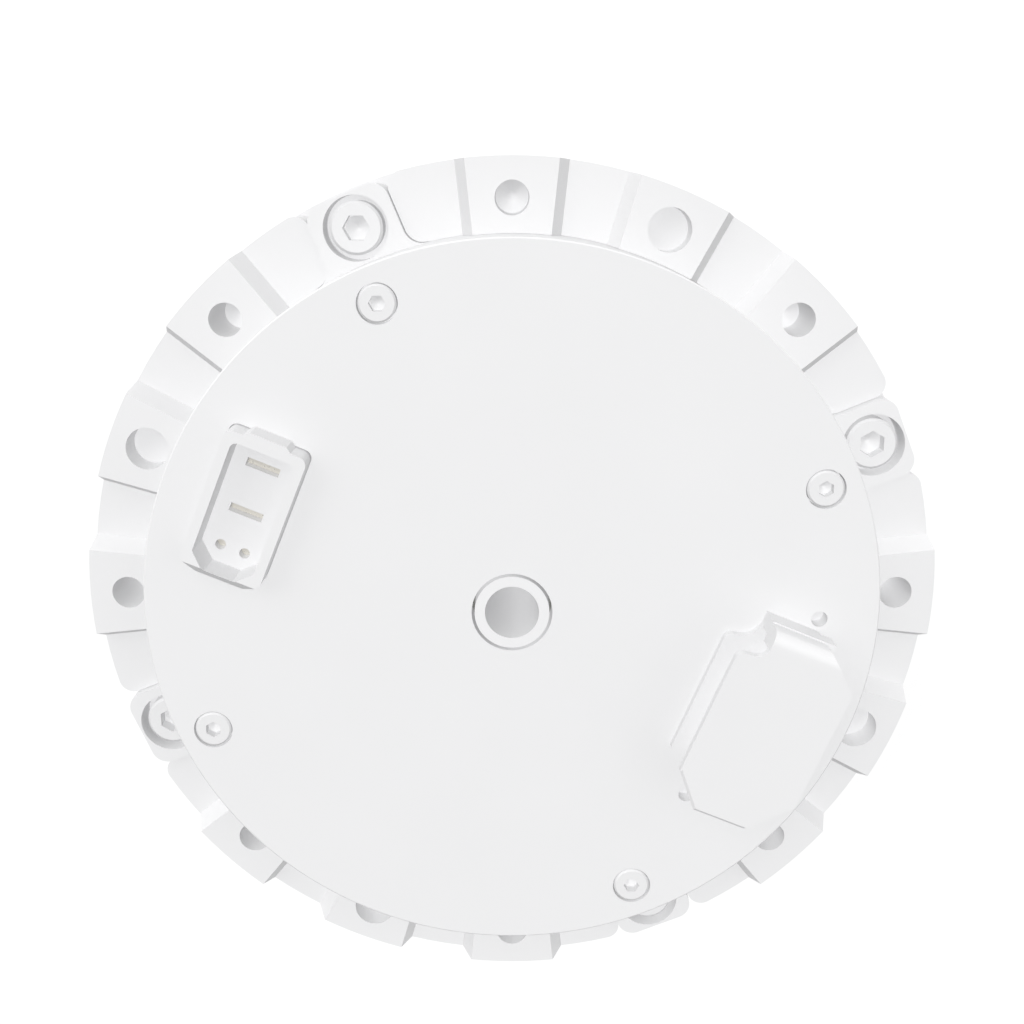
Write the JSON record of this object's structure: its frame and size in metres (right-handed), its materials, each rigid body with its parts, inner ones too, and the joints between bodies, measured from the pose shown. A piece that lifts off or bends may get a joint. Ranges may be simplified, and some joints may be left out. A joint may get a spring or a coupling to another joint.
{
  "type": "robot joint actuator",
  "caption": "Round hollow-shaft robot joint actuator with a notched rear mounting ring, a flat cover with two raised ports and a geared output flange.",
  "frame": {"origin": "centre of the output face, the lowest face of the part", "axes": "+Z along the shaft from the output face to the rear cover; +X through one threaded boss; the ports lie across the ray 22.5 degrees below +X"},
  "size_m": [0.0912, 0.0912, 0.0902],
  "materials": {
    "cover": "fine bead-blasted, light grey anodised",
    "rear_shell": "fine bead-blasted, light grey anodised",
    "ring_shell": "machined, light grey anodised",
    "front_shell": "machined, light grey anodised",
    "mid_shell": "machined, light grey anodised",
    "screw_steel": "light zinc-nickel plated",
    "inner_screw_steel": "zinc plated",
    "tube_metal": "fine turned, light grey anodised",
    "port_plastic": "fine moulded, light grey",
    "contact_metal": "tin plated",
    "gasket_rubber": "matt black",
    "gear_steel": "hobbed and hardened",
    "bearing_steel": "ground",
    "bronze": "sintered bronze",
    "carrier_steel": "turned",
    "output_metal": "turned, light grey anodised",
    "rotor_steel": "turned",
    "magnet": "nickel plated",
    "lamination": "stacked electrical steel, varnished",
    "copper": "enamelled copper wire",
    "lead_cover": "silicone covered wire",
    "board": "green solder mask",
    "chip": "black epoxy"
  },
  "bodies": {
    "housing": {"rear_cover": "cover", "cover_screws": "screw_steel", "cover_gasket": "gasket_rubber", "rear_housing": "rear_shell", "housing_screws": "screw_steel", "main_housing": "ring_shell", "mid_plate": "mid_shell", "front_housing": "front_shell", "front_screws": "screw_steel", "ring_gear": "gear_steel", "output_seal": "gasket_rubber", "output_bearing_outer": "bearing_steel", "front_bearing_outer": "bearing_steel", "rear_bearing_outer": "bearing_steel", "stator_core": "lamination", "stator_windings": "copper", "phase_leads": "lead_cover", "driver_board": "board", "driver_board_parts": "chip", "driver_board_screws": "inner_screw_steel", "encoder_board": "board", "encoder_chips": "chip", "encoder_board_screws": "inner_screw_steel", "port_a": "port_plastic", "port_a_contacts": "contact_metal", "port_b": "port_plastic", "port_b_contacts": "contact_metal", "port_b_cap": "port_plastic"},
    "output": {"output_flange": "output_metal", "output_bearing_inner": "bearing_steel", "planet_carrier": "carrier_steel", "carrier_screws": "inner_screw_steel", "planet_pins": "bearing_steel", "planet_washers": "bronze", "centre_tube": "tube_metal", "tube_encoder_magnet": "magnet"},
    "rotor": {"rotor_hub": "rotor_steel", "rotor_magnets": "magnet", "sun_gear": "gear_steel", "front_bearing_inner": "bearing_steel", "rear_bearing_inner": "bearing_steel", "rotor_circlip": "bearing_steel", "rotor_encoder_magnet": "magnet"},
    "planet_1": {"planet_1": "gear_steel", "planet_bush_1": "bronze"},
    "planet_2": {"planet_2": "gear_steel", "planet_bush_2": "bronze"},
    "planet_3": {"planet_3": "gear_steel", "planet_bush_3": "bronze"},
    "output_rollers": {"output_bearing_rollers": "bearing_steel"},
    "front_balls": {"front_bearing_balls": "bearing_steel"},
    "rear_balls": {"rear_bearing_balls": "bearing_steel"}
  },
  "joints": [
    {"name": "output_spin", "type": "hinge", "parent": "housing", "child": "output", "pos_m": [0, 0, 0], "axis": [0, 0, 1], "continuous": true},
    {"name": "rotor_spin", "type": "hinge", "parent": "housing", "child": "rotor", "pos_m": [0, 0, 0], "axis": [0, 0, 1], "continuous": true},
    {"name": "planet_1_spin", "type": "hinge", "parent": "output", "child": "planet_1", "pos_m": [0.02025, 0, 0], "axis": [0, 0, 1], "continuous": true},
    {"name": "planet_2_spin", "type": "hinge", "parent": "output", "child": "planet_2", "pos_m": [-0.01013, 0.01754, 0], "axis": [0, 0, 1], "continuous": true},
    {"name": "planet_3_spin", "type": "hinge", "parent": "output", "child": "planet_3", "pos_m": [-0.01013, -0.01754, 0], "axis": [0, 0, 1], "continuous": true},
    {"name": "output_roller_orbit", "type": "hinge", "parent": "housing", "child": "output_rollers", "pos_m": [0, 0, 0], "axis": [0, 0, 1], "continuous": true},
    {"name": "front_ball_orbit", "type": "hinge", "parent": "housing", "child": "front_balls", "pos_m": [0, 0, 0], "axis": [0, 0, 1], "continuous": true},
    {"name": "rear_ball_orbit", "type": "hinge", "parent": "housing", "child": "rear_balls", "pos_m": [0, 0, 0], "axis": [0, 0, 1], "continuous": true}
  ],
  "couplings": [
    {"joint": "rotor_spin", "follows": "output_spin", "ratio": 5},
    {"joint": "planet_1_spin", "follows": "output_spin", "ratio": -2.6667},
    {"joint": "planet_2_spin", "follows": "output_spin", "ratio": -2.6667},
    {"joint": "planet_3_spin", "follows": "output_spin", "ratio": -2.6667},
    {"joint": "output_roller_orbit", "follows": "output_spin", "ratio": 0.47715},
    {"joint": "front_ball_orbit", "follows": "output_spin", "ratio": 2.1364},
    {"joint": "rear_ball_orbit", "follows": "output_spin", "ratio": 2.1364}
  ]
}
